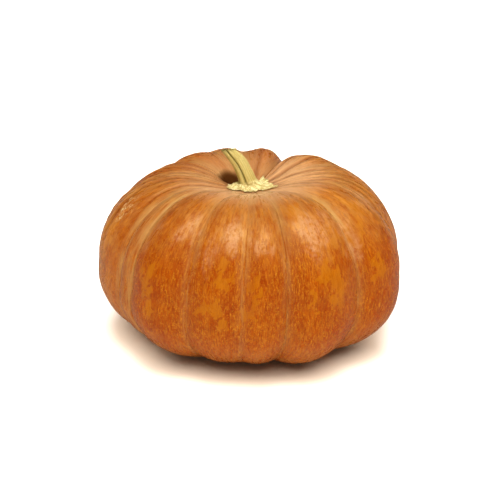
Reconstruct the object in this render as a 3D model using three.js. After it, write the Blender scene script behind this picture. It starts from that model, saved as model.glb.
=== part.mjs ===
import * as THREE from 'three';

// A flattened, ribbed pumpkin with a short curved stem. Millimetres, +Z up, the front is -Y.
// Azimuths are in degrees, measured from the front towards +X.

// The fruit before ribs: a squat rounded body, dished at the stem and at the blossom end.
const RADIUS = 132.7;
const HALF_HEIGHT = 81;
const UPPER_FULLNESS = 0.78; // below 1 the shoulder is fuller than an ellipse
const LOWER_FULLNESS = 0.835;
const LOWER_SWELL = 0.12;
const BASIN_DEPTH = 27;
const BASIN_WIDTH = 54;
const BLOSSOM_DEPTH = 12;
const BLOSSOM_WIDTH = 42;
const TWIST = 1.5; // how far a groove drifts round between its middle and either end
const REST_LEVEL = -73.6; // the fruit has settled flat where it lay below this height

// The flesh has sunk into a small hollow beside the stem.
const HOLLOW = { azimuth: -138, reach: 27, depth: 7.5, spread: 9.5 };

// Each rib: azimuth of the groove it starts at, how deep that groove is and how far the rib
// swells, both as a share of the distance from the centre.
const RIBS = [
  { start: -97, groove: 0.05, swell: -0.004 },
  { start: -57.5, groove: 0.055, swell: -0.03 },
  { start: -49, groove: 0.05, swell: 0.006 },
  { start: -24, groove: 0.06, swell: -0.035 },
  { start: -3.5, groove: 0.05, swell: -0.025 },
  { start: 12.5, groove: 0.065, swell: 0.016 },
  { start: 41, groove: 0.05, swell: 0.022 },
  { start: 73, groove: 0.06, swell: -0.05 },
  { start: 114, groove: 0.05, swell: -0.024 },
  { start: 157, groove: 0.26, swell: -0.03 },
  { start: 186, groove: 0.06, swell: -0.01 },
  { start: 205.5, groove: 0.04, swell: -0.016 },
  { start: 228, groove: 0.09, swell: -0.036 },
];
const RIB_ROUNDNESS = 0.8; // below 1 the grooves are narrow and the ribs broad
const GROOVE_FADE = 0.5; // how slowly the grooves fade towards both ends

// The stem: a foot that flares over the floor of the basin, then a curved, furrowed stalk.
const STEM_GAP = 0.8;
const FOOT_OUTLINE = [ // azimuth, how far the foot reaches there
  [-160, 12],
  [-136, 12.4],
  [-104, 16.5],
  [-65, 22],
  [-40, 18],
  [-8, 14],
  [24, 13.6],
  [42, 15.5],
  [58, 26],
  [75, 20],
  [100, 17.5],
  [132, 17],
  [160, 15],
];
const FOOT_TOP = [ // share of the foot's radius, height above the rind
  [0.98, 1.2],
  [0.75, 1.9],
  [0.55, 3.2],
];
const STALK_RADIUS = 7;
const STALK_TIP_RADIUS = 6;
const FURROWS = 5;
const FURROW_DEPTH = 0.13;
const STALK_PATH = [ // from the floor of the basin
  [-3.2, 0, 5],
  [-5.6, 1.5, 12],
  [-11.2, 4.8, 22.2],
  [-20, 8.5, 31.6],
];
const CUT_RADIUS = 6.6;
const CUT_NORMAL = new THREE.Vector3(-0.1, 0.3, 0.95); // the knife went nearly level

const SEGMENTS_PER_RIB = 6;
const RINGS = 38;
const RING_WARP = 16; // draws the rings closer together towards the two ends
const STALK_RINGS = 9;
const FOOT_RINGS = 4;

const { degToRad, radToDeg, lerp } = THREE.MathUtils;

// The columns of points that run from the blossom end to the stem, six to a rib.
const COLUMNS = RIBS.flatMap((rib, index) => {
  const next = RIBS[(index + 1) % RIBS.length];
  const end = next.start > rib.start ? next.start : next.start + 360;
  return Array.from({ length: SEGMENTS_PER_RIB }, (_, step) => {
    const across = step / SEGMENTS_PER_RIB;
    return {
      azimuth: lerp(rib.start, end, across),
      bulge: Math.sin(Math.PI * across) ** RIB_ROUNDNESS,
      swell: rib.swell,
      groove: lerp(rib.groove, next.groove, across),
    };
  });
});

function pointAt(azimuth, radius, height) {
  const a = degToRad(azimuth);
  return new THREE.Vector3(radius * Math.sin(a), -radius * Math.cos(a), height);
}

// How far the skin has sunk at a point near the stem.
function hollowDepth({ x, y }) {
  const centre = pointAt(HOLLOW.azimuth, HOLLOW.reach, 0);
  const apart = Math.hypot(x - centre.x, y - centre.y);
  return HOLLOW.depth * Math.exp(-((apart / HOLLOW.spread) ** 2));
}

// A point on the rind: `slope` runs from -90 degrees at the blossom end to 90 at the stem.
function rindPoint(column, slope) {
  const s = Math.sin(degToRad(slope));
  const reach = Math.max(Math.cos(degToRad(slope)), 0);
  const fade = reach ** GROOVE_FADE;
  const { bulge, swell, groove, azimuth } = column;
  const scale = 1 + fade * (swell * bulge - groove * (1 - bulge));
  const fullness = s > 0 ? UPPER_FULLNESS : LOWER_FULLNESS;
  const radius = RADIUS * reach ** fullness * scale * (1 + LOWER_SWELL * Math.max(-s, 0));
  const basin = BASIN_DEPTH * Math.exp(-((radius / BASIN_WIDTH) ** 2));
  const blossom = BLOSSOM_DEPTH * Math.exp(-((radius / BLOSSOM_WIDTH) ** 2));
  const height = HALF_HEIGHT * s * scale + (s > 0 ? -basin : blossom);
  const point = pointAt(azimuth + TWIST * s, radius, height);
  if (s > 0) point.z -= hollowDepth(point);
  point.z = Math.max(point.z, REST_LEVEL);
  return point;
}

// Closes a stack of rings, each with one point per column, into one solid.
function solidFromRings(rings, bottom, top) {
  const count = COLUMNS.length;
  const points = [...rings.flat(), bottom, top];
  const bottomIndex = points.length - 2;
  const topIndex = points.length - 1;
  const faces = [];
  for (let i = 0; i < count; i += 1) {
    const j = (i + 1) % count;
    faces.push(bottomIndex, j, i);
    for (let level = 0; level + 1 < rings.length; level += 1) {
      const low = level * count;
      const high = low + count;
      faces.push(low + i, low + j, high + j, low + i, high + j, high + i);
    }
    const last = (rings.length - 1) * count;
    faces.push(last + i, last + j, topIndex);
  }
  const geometry = new THREE.BufferGeometry().setFromPoints(points);
  geometry.setIndex(faces);
  geometry.computeVertexNormals();
  return geometry;
}

function fruitGeometry() {
  const rings = [];
  for (let level = 1; level < RINGS; level += 1) {
    const u = (2 * level) / RINGS - 1;
    const slope = 90 * u + RING_WARP * Math.sin(Math.PI * u);
    rings.push(COLUMNS.map((column) => rindPoint(column, slope)));
  }
  return solidFromRings(rings, rindPoint(COLUMNS[0], -90), rindPoint(COLUMNS[0], 90));
}

// Reads how far the foot reaches at an azimuth off its list, which closes into a circle.
function footRadius(azimuth) {
  const [first] = FOOT_OUTLINE;
  const turned = ((azimuth - first[0] + 720) % 360) + first[0];
  const closed = [...FOOT_OUTLINE, [first[0] + 360, first[1]]];
  const after = closed.findIndex(([place]) => place > turned);
  const [start, from] = closed[after - 1];
  const [end, to] = closed[after];
  return lerp(from, to, (turned - start) / (end - start));
}

// One ring of the foot, at a share of its radius, lifted clear of the rind below it.
function footRing(share, lift) {
  return COLUMNS.map((column) => {
    const reach = ((footRadius(column.azimuth) * share) / RADIUS) ** (1 / UPPER_FULLNESS);
    const point = rindPoint(column, radToDeg(Math.acos(reach)));
    point.z += lift;
    return point;
  });
}

function stalkRing(centre, direction, radius) {
  const turn = new THREE.Quaternion().setFromUnitVectors(new THREE.Vector3(0, 0, 1), direction);
  return COLUMNS.map(({ azimuth }) => {
    const furrow = Math.abs(Math.cos((FURROWS * degToRad(azimuth)) / 2)) ** 3;
    const reach = radius * (1 - FURROW_DEPTH * furrow);
    return pointAt(azimuth, reach, 0).applyQuaternion(turn).add(centre);
  });
}

function stemGeometry() {
  const rings = [];
  for (let level = 1; level <= FOOT_RINGS; level += 1) {
    rings.push(footRing(level / FOOT_RINGS, STEM_GAP));
  }
  for (const [share, lift] of FOOT_TOP) rings.push(footRing(share, STEM_GAP + lift));
  const floor = rindPoint(COLUMNS[0], 90).z;
  const path = new THREE.CatmullRomCurve3(
    STALK_PATH.map(([x, y, z]) => new THREE.Vector3(x, y, z + floor)),
  );
  for (let level = 0; level < STALK_RINGS; level += 1) {
    const along = level / STALK_RINGS;
    const radius = lerp(STALK_RADIUS, STALK_TIP_RADIUS, along);
    rings.push(stalkRing(path.getPoint(along), path.getTangent(along), radius));
  }
  const tip = path.getPoint(1);
  rings.push(stalkRing(tip, CUT_NORMAL.clone().normalize(), CUT_RADIUS));
  const under = new THREE.Vector3(0, 0, floor + STEM_GAP);
  return solidFromRings(rings, under, tip);
}

function piece(name, geometry, color, roughness) {
  const material = new THREE.MeshStandardMaterial({ color, roughness, metalness: 0 });
  const mesh = new THREE.Mesh(geometry, material);
  mesh.name = name;
  return mesh;
}

const fruit = fruitGeometry();
const stem = stemGeometry();

// The origin goes to the middle of the fruit's footprint, on the surface it rests on.
fruit.computeBoundingBox();
const middle = fruit.boundingBox.getCenter(new THREE.Vector3());
for (const geometry of [fruit, stem]) geometry.translate(-middle.x, -middle.y, -REST_LEVEL);

const pumpkin = new THREE.Group();
pumpkin.name = 'pumpkin';
pumpkin.add(piece('fruit', fruit, 0xc8701c, 0.5));
pumpkin.add(piece('stem', stem, 0xdccb84, 0.8));

export default pumpkin;
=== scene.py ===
# %% [markdown]
# # A squat, ribbed pumpkin
# The object is a whole pumpkin, wider than it is tall, with uneven ribs, a waxy mottled
# rind and a short dry stem that grows out of a ragged corky foot. It is two pieces: the
# fruit and the stem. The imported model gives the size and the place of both, and this
# script builds a finer surface over each one.

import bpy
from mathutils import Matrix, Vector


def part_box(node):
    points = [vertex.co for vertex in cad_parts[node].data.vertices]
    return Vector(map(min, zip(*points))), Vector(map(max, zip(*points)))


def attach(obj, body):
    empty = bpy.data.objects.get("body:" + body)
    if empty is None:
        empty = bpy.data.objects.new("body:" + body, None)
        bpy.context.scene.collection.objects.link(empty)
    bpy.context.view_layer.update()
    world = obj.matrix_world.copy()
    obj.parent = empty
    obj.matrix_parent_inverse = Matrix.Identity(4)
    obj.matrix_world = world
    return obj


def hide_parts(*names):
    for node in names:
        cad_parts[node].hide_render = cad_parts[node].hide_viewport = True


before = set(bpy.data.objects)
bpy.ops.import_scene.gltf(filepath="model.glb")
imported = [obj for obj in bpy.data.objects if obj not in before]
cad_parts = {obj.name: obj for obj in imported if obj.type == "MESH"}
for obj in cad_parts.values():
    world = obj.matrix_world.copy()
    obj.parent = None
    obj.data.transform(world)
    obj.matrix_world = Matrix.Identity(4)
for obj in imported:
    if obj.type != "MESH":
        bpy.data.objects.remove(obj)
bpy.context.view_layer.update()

# %% [markdown]
# ## Tools
# Everything here is built with Blender's own module, an array library for the long lists
# of points, and Blender's noise for the irregular parts.

# %% Tools
import math

import bpy
import numpy as np
from mathutils import Vector, noise

print("made with Blender", bpy.app.version_string)

# %% [markdown]
# ## The view
# The camera looks a little down on the pumpkin from the front, through a long lens. A
# short lens could stand closer, but it would make the near ribs look swollen. The camera
# is placed from a target inside the fruit, an elevation and a distance, so each can be
# changed on its own.

# %% Camera
ELEVATION = math.radians(23.0)
DISTANCE = 0.9
TARGET = Vector((0.0008, -0.0014, 0.0716))
LENS, SENSOR_WIDTH = 74.7, 36.0
FARTHEST = 50.0

camera_data = bpy.data.cameras.new("camera")
camera_data.lens = LENS
camera_data.sensor_width = SENSOR_WIDTH
camera_data.clip_end = FARTHEST
camera = bpy.data.objects.new("camera", camera_data)
bpy.context.scene.collection.objects.link(camera)
away = Vector((0.0, -math.cos(ELEVATION), math.sin(ELEVATION)))
camera.location = TARGET + DISTANCE * away
camera.rotation_euler = (math.pi / 2 - ELEVATION, 0.0, 0.0)
bpy.context.scene.camera = camera
print("camera at", [round(value, 3) for value in camera.location])

# %% [markdown]
# ## The body of the fruit
# A pumpkin grows from the blossom end round to the stem, so its surface is easiest to
# describe with two angles: an azimuth round the stem, and a slope that runs from -90
# degrees underneath to 90 at the stem. A sculpted mesh could have the same shape, but a
# formula keeps every rib editable and agrees with the solid model. Each rib is a line
# in a list: the azimuth of the groove where it starts, how deep that groove is, and how
# far the rib swells, both as shares of the distance from the centre. Beside the stem the
# flesh has sunk into a small deep hollow.

# %% Body and rib sizes
RADIUS = 0.1327
HALF_HEIGHT = 0.081
UPPER_FULLNESS = 0.78
LOWER_FULLNESS = 0.835
LOWER_SWELL = 0.12
BASIN_DEPTH, BASIN_WIDTH = 0.027, 0.054
BLOSSOM_DEPTH, BLOSSOM_WIDTH = 0.012, 0.042
TWIST = 1.5  # degrees that a groove drifts round between its middle and either end
REST_LEVEL = -0.0736  # the fruit has settled flat below this height
RIB_ROUNDNESS = 0.8
GROOVE_FADE = 0.5
HOLLOW_AZIMUTH, HOLLOW_REACH = math.radians(-138.0), 0.027
HOLLOW_DEPTH, HOLLOW_SPREAD = 0.0075, 0.0095
HOLLOW_X = HOLLOW_REACH * math.sin(HOLLOW_AZIMUTH)
HOLLOW_Y = -HOLLOW_REACH * math.cos(HOLLOW_AZIMUTH)

# Azimuth of the groove that each rib starts at, how deep that groove is, and how far the
# rib swells.
RIBS = [
    (-97.0, 0.050, -0.004),
    (-57.5, 0.055, -0.030),
    (-49.0, 0.050, 0.006),
    (-24.0, 0.060, -0.035),
    (-3.5, 0.050, -0.025),
    (12.5, 0.065, 0.016),
    (41.0, 0.050, 0.022),
    (73.0, 0.060, -0.050),
    (114.0, 0.050, -0.024),
    (157.0, 0.260, -0.030),
    (186.0, 0.060, -0.010),
    (205.5, 0.040, -0.016),
    (228.0, 0.090, -0.036),
]
starts = np.array([rib[0] for rib in RIBS])
ends = np.append(starts[1:], starts[0] + 360.0)
grooves = np.array([rib[1] for rib in RIBS])
swells = np.array([rib[2] for rib in RIBS])
print("rib widths in degrees", (ends - starts).tolist())


# %% A point on the rind
def rib_at(azimuth):
    """Which rib an azimuth falls in, and how far across it, from 0 to 1."""
    turned = (azimuth - starts[0]) % 360.0 + starts[0]
    index = np.searchsorted(starts, turned, side="right") - 1
    return index, (turned - starts[index]) / (ends[index] - starts[index])


def away_from_hollow(x, y):
    """Distance from the middle of the hollow, seen from above."""
    return np.hypot(x - HOLLOW_X, y - HOLLOW_Y)


def rind(azimuth, slope):
    """Positions on the smooth rind, measured from the centre of the fruit."""
    index, across = rib_at(azimuth)
    bulge = np.sin(np.pi * across) ** RIB_ROUNDNESS
    depth = grooves[index] * (1 - across) + grooves[(index + 1) % len(RIBS)] * across
    s = np.sin(np.radians(slope))
    reach = np.clip(np.cos(np.radians(slope)), 0.0, 1.0)
    scale = 1 + reach**GROOVE_FADE * (swells[index] * bulge - depth * (1 - bulge))
    fullness = np.where(s > 0, UPPER_FULLNESS, LOWER_FULLNESS)
    radius = RADIUS * reach**fullness * scale * (1 + LOWER_SWELL * np.clip(-s, 0, 1))
    basin = BASIN_DEPTH * np.exp(-((radius / BASIN_WIDTH) ** 2))
    blossom = BLOSSOM_DEPTH * np.exp(-((radius / BLOSSOM_WIDTH) ** 2))
    height = HALF_HEIGHT * s * scale + np.where(s > 0, -basin, blossom)
    angle = np.radians(azimuth + TWIST * s)
    x, y = radius * np.sin(angle), -radius * np.cos(angle)
    hollow = HOLLOW_DEPTH * np.exp(-((away_from_hollow(x, y) / HOLLOW_SPREAD) ** 2))
    return np.stack([x, y, height - np.where(s > 0, hollow, 0.0)], axis=-1)


# %% [markdown]
# ## The columns and rings of the mesh
# Every rib gets columns in proportion to its width, drawn together at its two grooves,
# because a groove is a narrow crease and needs the most points. The rings are drawn
# together at both ends, where the basin and the blossom dish curve fastest.

# %% Columns and rings
COLUMNS_PER_DEGREE = 1.33
CREASE_CROWDING = 0.6
RINGS = 200
RING_WARP = 16.0

columns = []
for start, end in zip(starts, ends):
    count = round((end - start) * COLUMNS_PER_DEGREE)
    u = np.arange(count) / count
    u = u - CREASE_CROWDING * np.sin(2 * np.pi * u) / (2 * np.pi)
    columns.append(start + (end - start) * u)
columns = np.concatenate(columns)
level = np.linspace(-1, 1, RINGS + 1)[1:-1]
slopes = 90 * level + RING_WARP * np.sin(np.pi * level)
azimuth_grid, slope_grid = np.meshgrid(columns, slopes)
smooth = rind(azimuth_grid, slope_grid)
print("columns", len(columns), "rings", len(slopes))


# %% [markdown]
# ## Relief on the rind
# A real rind isn't as smooth as the formula. Broad dents come from growing against the
# ground, a few long creases run down from the stem inside the ribs, and the shoulders
# pucker into fine wrinkles that fan out from the stem. A bump in the material could fake
# all three, but the larger ones would be missing from the outline. So the points of the
# mesh are moved along the surface's own normal instead.

# %% Relief helpers
def smoothstep(low, high, value):
    """0 below the first level, 1 above the second, and a soft step between them."""
    t = np.clip((value - low) / (high - low), 0.0, 1.0)
    return t * t * (3 - 2 * t)


def noise_field(points, octaves=2):
    """Smooth noise, about -1 to 1, at each point of an array."""
    flat = points.reshape(-1, 3)
    values = [noise.fractal(Vector(p), 1.0, 2.0, octaves) for p in flat]
    return np.array(values).reshape(points.shape[:-1])


def normals_of(grid):
    """Outward normals of a grid of points whose columns close into a ring."""
    around = np.roll(grid, -1, axis=1) - np.roll(grid, 1, axis=1)
    along = np.gradient(grid, axis=0)
    normal = np.cross(around, along)
    return normal / np.maximum(np.linalg.norm(normal, axis=-1, keepdims=True), 1e-12)


def skin_coordinates(azimuth, slope):
    """A place on the skin that streaks can follow: round the fruit, and along a rib."""
    angle = np.radians(azimuth)
    return np.stack([np.cos(angle), np.sin(angle), np.radians(slope)], axis=-1)


def turned_from(azimuth, place):
    """Degrees from a place round the fruit, from -180 to 180."""
    return (azimuth - place + 180) % 360 - 180


# %% Lumps and wrinkles
LUMP_HEIGHT, LUMP_SIZE = 0.0011, 0.05
PEBBLE_HEIGHT, PEBBLE_SIZE = 0.00018, 0.0075
SHOULDER_FROM, SHOULDER_TO = 22, 56
WRINKLE_SHARPNESS = 2.4
# Height of the wrinkles, and how many to a radian across and along the skin.
WRINKLES = [(0.00040, 13.0, 1.0), (0.00024, 30.0, 1.6)]

skin = skin_coordinates(azimuth_grid, slope_grid)
radius_grid = np.hypot(smooth[..., 0], smooth[..., 1])
relief = LUMP_HEIGHT * noise_field(smooth / LUMP_SIZE + 7.0)
relief += PEBBLE_HEIGHT * noise_field(smooth / PEBBLE_SIZE)
shoulder = smoothstep(SHOULDER_FROM, SHOULDER_TO, slope_grid)
from_front = np.abs(turned_from(azimuth_grid, 0))
to_the_sides = 0.35 + 0.65 * smoothstep(45, 70, from_front)
to_the_sides -= 0.6 * smoothstep(95, 130, from_front)
for height, across_count, along_count in WRINKLES:
    fan = noise_field(skin * np.array([across_count, across_count, along_count]) + 3.0, 3)
    relief += height * shoulder * to_the_sides * (1 - WRINKLE_SHARPNESS * np.abs(fan))
print("relief from %.2f to %.2f mm" % (relief.min() * 1e3, relief.max() * 1e3))

# %% [markdown]
# A crease is a fold where the skin has buckled as the fruit dried a little. Noise could
# scatter creases anywhere, but the real ones are few and run far, so each is one line in
# a list. Next to its valley stands a lip that catches the light. Both are kept as masks
# too: the valley's darkens the colour there as painted shade, and the lip's makes the
# colour paler and waxier, partly wax and partly a painted highlight.

# %% Long creases
# Azimuth at the stem and further down, depth and width in metres, and the slopes
# between which it shows. Each has a raised lip on the side away from the front.
CREASES = [
    (112.0, 97.0, 0.00200, 0.0016, 50.0, 85.0),
    (63.0, 62.0, 0.00170, 0.0015, 30.0, 86.0),
    (50.0, 69.0, 0.00060, 0.0013, 8.0, 70.0),
    (82.0, 76.0, 0.00110, 0.0014, 4.0, 78.0),
    (88.0, 84.0, 0.00100, 0.0014, 12.0, 84.0),
    (98.0, 92.0, 0.00090, 0.0014, 40.0, 84.0),
    (128.0, 134.0, 0.00140, 0.0018, 30.0, 84.0),
    (141.0, 146.0, 0.00070, 0.0018, 40.0, 82.0),
    (171.0, 168.0, 0.00070, 0.0020, 40.0, 82.0),
    (-172.0, -166.0, 0.00060, 0.0020, 45.0, 82.0),
    (-126.0, -118.0, 0.00130, 0.0016, 25.0, 84.0),
    (-114.0, -106.0, 0.00130, 0.0015, 30.0, 85.0),
    (-104.0, -92.0, 0.00150, 0.0014, 20.0, 85.0),
    (-96.0, -84.0, 0.00150, 0.0014, 12.0, 85.0),
    (-86.0, -76.0, 0.00170, 0.0016, 6.0, 85.0),
    (-77.0, -68.0, 0.00070, 0.0014, 45.0, 85.0),
    (-66.0, -61.0, 0.00080, 0.0015, 35.0, 84.0),
    (-44.0, -44.0, 0.00060, 0.0017, 22.0, 80.0),
    (-33.0, -36.0, 0.00040, 0.0020, 45.0, 82.0),
    (-14.0, -13.0, 0.00025, 0.0022, 50.0, 80.0),
    (27.0, 27.0, 0.00035, 0.0024, 42.0, 82.0),
    (35.0, 33.0, 0.00030, 0.0020, 30.0, 76.0),
]
LIP = 0.45
VALLEY_WIDTH, LIP_AT, LIP_WIDTH = 0.85, 1.8, 1.1  # as shares of a crease's width
SLOPE_AT_STEM, SLOPE_BELOW = 84.0, 30.0
SWAY = 0.9
DARKEST_DEPTH, SHINIEST_DEPTH = 0.0009, 0.0012

crease_shade = np.zeros_like(relief)
lip_shine = np.zeros_like(relief)
for at_stem, below, depth, width, low, high in CREASES:
    share = np.clip((SLOPE_AT_STEM - slope_grid) / (SLOPE_AT_STEM - SLOPE_BELOW), 0, 1.5)
    sway = SWAY * np.sin(np.radians(7.0 * slope_grid + 40 * at_stem))
    apart = turned_from(azimuth_grid, at_stem + (below - at_stem) * share + sway)
    distance = np.radians(apart) * radius_grid * np.sign(at_stem)
    shown = smoothstep(low, low + 22, slope_grid) * (1 - smoothstep(high, 89, slope_grid))
    valley = np.exp(-((distance / (VALLEY_WIDTH * width)) ** 2))
    lip = np.exp(-(((distance - LIP_AT * width) / (LIP_WIDTH * width)) ** 2))
    relief += depth * shown * (LIP * lip - valley)
    # Painted shade in each crease's valley, and a lip mask that is partly wax and partly a
    # painted highlight.
    crease_shade += depth / DARKEST_DEPTH * shown * valley
    lip_shine += depth / SHINIEST_DEPTH * shown * lip
relief *= 1 - smoothstep(79, 87, slope_grid)
relief *= smoothstep(-88, -70, slope_grid)
surface = smooth + normals_of(smooth) * relief[..., None]
surface[..., 2] = np.maximum(surface[..., 2], REST_LEVEL)
print("creases", len(CREASES), "deepest %.1f mm" % (-1e3 * relief.min()))


# %% [markdown]
# ## Making the fruit
# The grid closes into one solid with a point at each end. A bought model or a sculpt
# would have to be scaled to fit, but this one already has the right size, so it is only
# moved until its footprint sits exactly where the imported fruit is.

# %% Mesh helper
def closed_mesh(name, rings, bottom, top):
    """A solid from a stack of rings of points, closed by one point at each end."""
    levels, count = rings.shape[:2]
    points = np.concatenate([rings.reshape(-1, 3), [bottom, top]])
    low = np.arange((levels - 1) * count).reshape(levels - 1, count)
    right = np.roll(low, -1, axis=1)
    quads = np.stack([low, right, right + count, low + count], axis=-1).reshape(-1, 4)
    first = np.arange(count)
    last = first + (levels - 1) * count
    faces = quads.tolist()
    faces += [(levels * count, int(b), int(a)) for a, b in zip(first, np.roll(first, -1))]
    faces += [(int(a), int(b), levels * count + 1) for a, b in zip(last, np.roll(last, -1))]
    mesh = bpy.data.meshes.new(name)
    mesh.from_pydata(points.tolist(), [], faces)
    mesh.polygons.foreach_set("use_smooth", [True] * len(mesh.polygons))
    piece = bpy.data.objects.new(name, mesh)
    bpy.context.scene.collection.objects.link(piece)
    return piece


def paint(piece, name, values):
    """Keeps one number or one vector per point, for the material to read."""
    values = np.asarray(values, dtype=np.float32)
    kind = "FLOAT" if values.ndim == 1 else "FLOAT_VECTOR"
    layer = piece.data.attributes.new(name, kind, "POINT")
    layer.data.foreach_set("value" if values.ndim == 1 else "vector", values.ravel())


# %% The fruit
low_corner, high_corner = (Vector(corner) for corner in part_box("fruit"))
middle = (low_corner + high_corner) / 2
plain = surface.reshape(-1, 3)
own_middle = (plain.min(axis=0) + plain.max(axis=0)) / 2
over = (middle.x - own_middle[0], middle.y - own_middle[1])
shift = np.array([*over, low_corner.z - REST_LEVEL])
floor_of_basin = rind(np.array(0.0), np.array(90.0))
blossom_end = rind(np.array(0.0), np.array(-90.0))

fruit = closed_mesh("rind", surface + shift, blossom_end + shift, floor_of_basin + shift)
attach(fruit, "root")
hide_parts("fruit")
print("fruit shifted by", (shift * 1e3).round(2).tolist(), "mm")

# %% [markdown]
# ## What the rind's colour follows
# The colour of a pumpkin isn't random. Pale wax gathers in the grooves and low on the
# ribs, golden blotches run lengthwise down the ribs, burnt orange fills the space
# between, a pale bloom lies on the shoulders, partly wax and partly a painted highlight
# where the overhead light shines, and here and there is a corky scar. Noise alone would
# scatter these evenly, so each is a soft oval in a list, placed one by one. Warping the
# place where an oval is looked up gives it a torn edge. The mesh keeps the result as
# numbers that the material reads at every point.

# %% Blotches
# Azimuth, slope, half width and half height in degrees, and strength.
BLOTCHES = [
    (-10.8, 19.0, 2.6, 11.0, 1.0),
    (-14.5, 1.0, 4.5, 6.0, 0.8),
    (-10.0, -9.0, 3.0, 5.0, 0.6),
    (1.0, 13.0, 2.3, 11.0, 0.9),
    (-2.0, -3.0, 3.4, 6.0, 0.8),
    (-38.5, 12.0, 3.0, 10.0, 0.8),
    (-36.0, -3.0, 3.6, 7.0, 0.5),
    (29.5, 12.0, 3.2, 15.0, 0.9),
    (24.5, 20.0, 2.6, 8.0, 0.8),
    (20.5, 6.0, 1.8, 6.0, 0.9),
    (49.0, 13.0, 3.6, 8.0, 0.9),
    (45.0, 34.0, 5.0, 8.0, 0.6),
    (35.0, 38.0, 4.0, 14.0, 0.7),
    (20.0, 52.0, 6.0, 12.0, 0.7),
    (-72.0, 20.0, 5.0, 14.0, 0.7),
    (-80.0, 44.0, 5.0, 9.0, 0.8),
    (52.0, 46.0, 5.0, 11.0, 0.8),
    (64.0, 30.0, 3.6, 11.0, 0.8),
    (84.0, 46.0, 6.0, 10.0, 0.8),
    (92.0, 20.0, 5.0, 14.0, 0.8),
    (104.0, -4.0, 4.0, 12.0, 0.7),
    (133.0, 12.0, 5.0, 18.0, 0.8),
    (170.0, 22.0, 5.0, 16.0, 0.8),
    (196.0, 6.0, 4.0, 14.0, 0.8),
    (217.0, 18.0, 4.5, 15.0, 0.8),
    (244.0, 8.0, 5.0, 16.0, 0.8),
]
# The same for places where the burnt orange shows through most.
BURNT_PLACES = [
    (-44.0, 16.0, 4.0, 16.0, 0.8),
    (-31.0, 20.0, 3.0, 16.0, 0.5),
    (-20.5, 12.0, 3.2, 26.0, 1.0),
    (-5.5, 14.0, 2.4, 20.0, 0.8),
    (15.5, 26.0, 2.6, 18.0, 1.0),
    (9.0, 2.0, 3.4, 14.0, 0.6),
    (32.5, -6.0, 4.0, 12.0, 0.6),
    (24.0, 4.0, 1.8, 7.0, 0.7),
    (47.5, -4.0, 5.0, 12.0, 0.7),
    (44.0, 22.0, 3.0, 8.0, 0.8),
    (56.0, 20.0, 2.6, 16.0, 0.6),
    (-66.0, 34.0, 4.0, 9.0, 0.7),
    (-90.0, 26.0, 5.0, 14.0, 0.6),
    (82.0, 8.0, 5.0, 18.0, 0.7),
    (122.0, 10.0, 5.0, 20.0, 0.8),
    (148.0, 20.0, 4.0, 18.0, 0.7),
    (180.0, 10.0, 4.0, 20.0, 0.8),
    (208.0, 8.0, 4.0, 20.0, 0.8),
    (236.0, 20.0, 4.0, 18.0, 0.7),
    (254.0, 4.0, 4.0, 16.0, 0.6),
    (-86.0, 54.0, 4.0, 9.0, 0.7),
    (-64.0, 50.0, 3.0, 10.0, 0.8),
    (-40.0, 52.0, 2.6, 9.0, 0.8),
    (-20.0, 53.0, 2.6, 10.0, 0.9),
    (-1.0, 56.0, 2.4, 9.0, 0.9),
    (14.0, 51.0, 2.4, 10.0, 0.9),
    (31.0, 60.0, 4.0, 7.0, 0.6),
    (56.0, 58.0, 3.0, 9.0, 0.6),
    (78.0, 60.0, 4.0, 8.0, 0.6),
    (108.0, 62.0, 6.0, 8.0, 0.7),
    (140.0, 60.0, 7.0, 9.0, 0.8),
    (172.0, 62.0, 7.0, 9.0, 0.8),
    (204.0, 60.0, 7.0, 9.0, 0.8),
    (238.0, 60.0, 6.0, 9.0, 0.8),
]
# The same for the pale bloom on the shoulders, partly wax and partly a painted highlight.
BLOOM_AND_HIGHLIGHT_PLACES = [
    (-29.0, 43.0, 4.5, 9.0, 0.8),
    (-9.0, 43.0, 4.5, 10.0, 1.0),
    (3.0, 38.0, 3.8, 8.0, 0.8),
    (24.0, 41.0, 6.0, 12.0, 1.0),
    (41.0, 33.0, 4.0, 12.0, 0.7),
    (-44.0, 35.0, 3.0, 10.0, 0.5),
    (33.0, 46.0, 5.0, 9.0, 0.6),
    (-17.0, 31.0, 2.2, 8.0, 0.5),
    (66.0, 47.0, 8.0, 9.0, 0.7),
    (104.0, 50.0, 8.0, 10.0, 0.6),
    (-84.0, 40.0, 5.0, 10.0, 0.6),
    (128.0, 44.0, 6.0, 10.0, 0.6),
    (170.0, 44.0, 6.0, 10.0, 0.6),
    (216.0, 44.0, 6.0, 10.0, 0.6),
]
# The same for little corky scars.
SCARS = [
    (-71.0, 37.0, 2.4, 9.0, 1.0),
    (70.0, 45.0, 1.4, 2.2, 0.8),
]
TEAR_ACROSS, TEAR_ALONG = 4.2, 8.0  # degrees

torn_azimuth = azimuth_grid + TEAR_ACROSS * noise_field(skin * np.array([20.0, 20.0, 8.0]), 3)
along_noise = noise_field(skin * np.array([20.0, 20.0, 5.0]) + 5.0, 3)
torn_slope = slope_grid + TEAR_ALONG * along_noise


def blotched(places, softness):
    """How strongly each point lies in one of the places, from 0 to 1."""
    mask = np.zeros_like(azimuth_grid)
    for place, slope, half_width, half_height, strength in places:
        apart = turned_from(torn_azimuth, place)
        spot = (apart / half_width) ** 2 + ((torn_slope - slope) / half_height) ** 2
        mask = np.maximum(mask, strength * (1 - smoothstep(*softness, spot)))
    return mask


golden = blotched(BLOTCHES, (0.45, 0.85))
burnt = blotched(BURNT_PLACES, (0.35, 1.5))
bloom_and_highlight = blotched(BLOOM_AND_HIGHLIGHT_PLACES, (0.0, 1.6))
scarred = blotched(SCARS, (0.6, 1.3))
print("golden share %.2f, burnt share %.2f" % ((golden > 0.3).mean(), (burnt > 0.3).mean()))

# %% [markdown]
# Wax is thickest where nothing has rubbed it off: in the grooves, low down, and all over
# the narrow rib at the left. It is worked out from how far each point is from the
# nearest groove, so it stays in step when a rib is moved. A thin pale line marks the
# very bottom of each groove, and the flanks beside it keep the burnt orange.

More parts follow.
